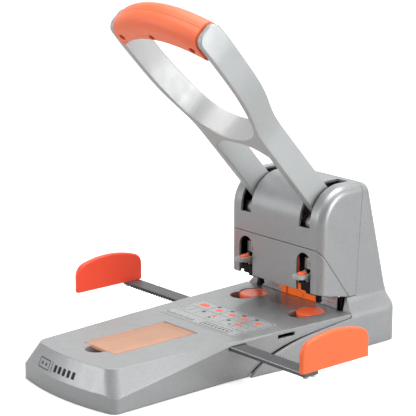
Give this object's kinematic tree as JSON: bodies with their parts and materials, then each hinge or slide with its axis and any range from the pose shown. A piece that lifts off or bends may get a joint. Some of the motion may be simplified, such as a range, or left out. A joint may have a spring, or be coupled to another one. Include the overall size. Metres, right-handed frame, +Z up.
{
  "type": "heavy duty lever paper punch",
  "caption": "Desk paper punch with a long bowed lever over a tower, two rams that cut holes through a stack, a flat table with linked side stops, cutting discs and a clear storage lid.",
  "frame": {"origin": "on the desk plane, midway between the two punch axes", "axes": "+Z up, -Y towards the nose of the table, +Y towards the rear, +X to the right seen from the nose; the punch axes are vertical at x = -40 mm and x = +40 mm, y = 0"},
  "size_m": [0.3228, 0.3465, 0.3339],
  "materials": {
    "silver_plastic": "silver metallic paint, satin",
    "orange_plastic": "satin moulded plastic",
    "black_plastic": "moulded black plastic",
    "grey_plastic": "moulded grey plastic",
    "steel": "machined",
    "dark_steel": "black coated steel",
    "lever_paint": "silver paint on a die casting",
    "rubber": "matt",
    "clear_orange": "clear tinted plastic",
    "label": "printed film"
  },
  "bodies": {
    "body": {"base_shell": "silver_plastic", "rear_housing": "silver_plastic", "upper_cover": "silver_plastic", "lower_cover": "silver_plastic", "bottom_plate": "dark_steel", "rubber_feet": "rubber", "base_screws": "steel", "spare_discs": "orange_plastic", "info_label": "label", "rack_keeper": "black_plastic", "pinion_screw": "steel", "lever_axle": "steel", "axle_bushes": "black_plastic", "axle_spacers": "black_plastic", "axle_clips": "steel", "return_spring": "steel", "frame_side_plates": "dark_steel", "frame_cross_plate": "dark_steel", "frame_bolts": "dark_steel", "back_stop_plate": "silver_plastic", "margin_window": "clear_orange", "ram_guide_left": "black_plastic", "channel_liner_left": "orange_plastic", "stripper_foot_left": "black_plastic", "ram_guide_right": "black_plastic", "channel_liner_right": "orange_plastic", "stripper_foot_right": "black_plastic"},
    "lever": {"lever_frame": "lever_paint", "crank_pins": "steel", "grip_upper": "orange_plastic", "grip_lower": "orange_plastic", "grip_screws": "dark_steel"},
    "pinion": {"centring_pinion": "black_plastic"},
    "lid": {"storage_lid": "clear_orange"},
    "drawer": {"chip_drawer": "black_plastic"},
    "ram_left": {"ram_left": "steel", "punch_holder_left": "black_plastic", "punch_left": "steel", "tab_pin_left": "steel"},
    "tab_left": {"exchange_tab_left": "grey_plastic"},
    "button_left": {"release_button_left": "orange_plastic"},
    "disc_left": {"punch_disc_left": "orange_plastic"},
    "stop_left": {"side_stop_left": "orange_plastic", "rack_bar_left": "grey_plastic", "stop_screws_left": "steel"},
    "ram_right": {"ram_right": "steel", "punch_holder_right": "black_plastic", "punch_right": "steel", "tab_pin_right": "steel"},
    "tab_right": {"exchange_tab_right": "grey_plastic"},
    "button_right": {"release_button_right": "orange_plastic"},
    "disc_right": {"punch_disc_right": "orange_plastic"},
    "stop_right": {"side_stop_right": "orange_plastic", "rack_bar_right": "grey_plastic", "stop_screws_right": "steel"}
  },
  "joints": [
    {"name": "lever_hinge", "type": "hinge", "parent": "body", "child": "lever", "pos_m": [0, 0.0165, 0.1215], "axis": [1, 0, 0], "range_deg": [-32, 17.4]},
    {"name": "ram_left_slide", "type": "slide", "parent": "body", "child": "ram_left", "axis": [0, 0, -1], "range_m": [-0.0129, 0.007]},
    {"name": "tab_left_lift", "type": "hinge", "parent": "ram_left", "child": "tab_left", "pos_m": [-0.04, -0.0125, 0.0722], "axis": [1, 0, 0], "range_deg": [-20, 0]},
    {"name": "button_left_press", "type": "slide", "parent": "tab_left", "child": "button_left", "axis": [0, 0, -1], "range_m": [0, 0.001]},
    {"name": "disc_left_spin", "type": "hinge", "parent": "body", "child": "disc_left", "pos_m": [-0.04, -0.0095, 0.0336], "axis": [0, 0, 1], "continuous": true},
    {"name": "ram_right_slide", "type": "slide", "parent": "body", "child": "ram_right", "axis": [0, 0, -1], "range_m": [-0.0129, 0.007]},
    {"name": "tab_right_lift", "type": "hinge", "parent": "ram_right", "child": "tab_right", "pos_m": [0.04, -0.0125, 0.0722], "axis": [1, 0, 0], "range_deg": [-20, 0]},
    {"name": "button_right_press", "type": "slide", "parent": "tab_right", "child": "button_right", "axis": [0, 0, -1], "range_m": [0, 0.001]},
    {"name": "disc_right_spin", "type": "hinge", "parent": "body", "child": "disc_right", "pos_m": [0.04, -0.0095, 0.0336], "axis": [0, 0, 1], "continuous": true},
    {"name": "stop_right_slide", "type": "slide", "parent": "body", "child": "stop_right", "axis": [1, 0, 0], "range_m": [-0.078, 0]},
    {"name": "stop_left_slide", "type": "slide", "parent": "body", "child": "stop_left", "axis": [1, 0, 0], "range_m": [0, 0.078]},
    {"name": "pinion_spin", "type": "hinge", "parent": "body", "child": "pinion", "pos_m": [0, -0.0955, 0.0309], "axis": [0, 0, 1], "range_deg": [-224, 1]},
    {"name": "lid_hinge", "type": "hinge", "parent": "body", "child": "lid", "pos_m": [0, -0.136, 0.03475], "axis": [1, 0, 0], "range_deg": [-100, 0]},
    {"name": "drawer_slide", "type": "slide", "parent": "body", "child": "drawer", "axis": [0, 1, 0], "range_m": [0, 0.05]}
  ],
  "couplings": [
    {"joint": "ram_left_slide", "follows": "lever_hinge", "m_per_rad": 0.0228},
    {"joint": "ram_right_slide", "follows": "lever_hinge", "m_per_rad": 0.0228},
    {"joint": "stop_left_slide", "follows": "stop_right_slide", "ratio": -1},
    {"joint": "pinion_spin", "follows": "stop_right_slide", "rad_per_m": 50}
  ]
}
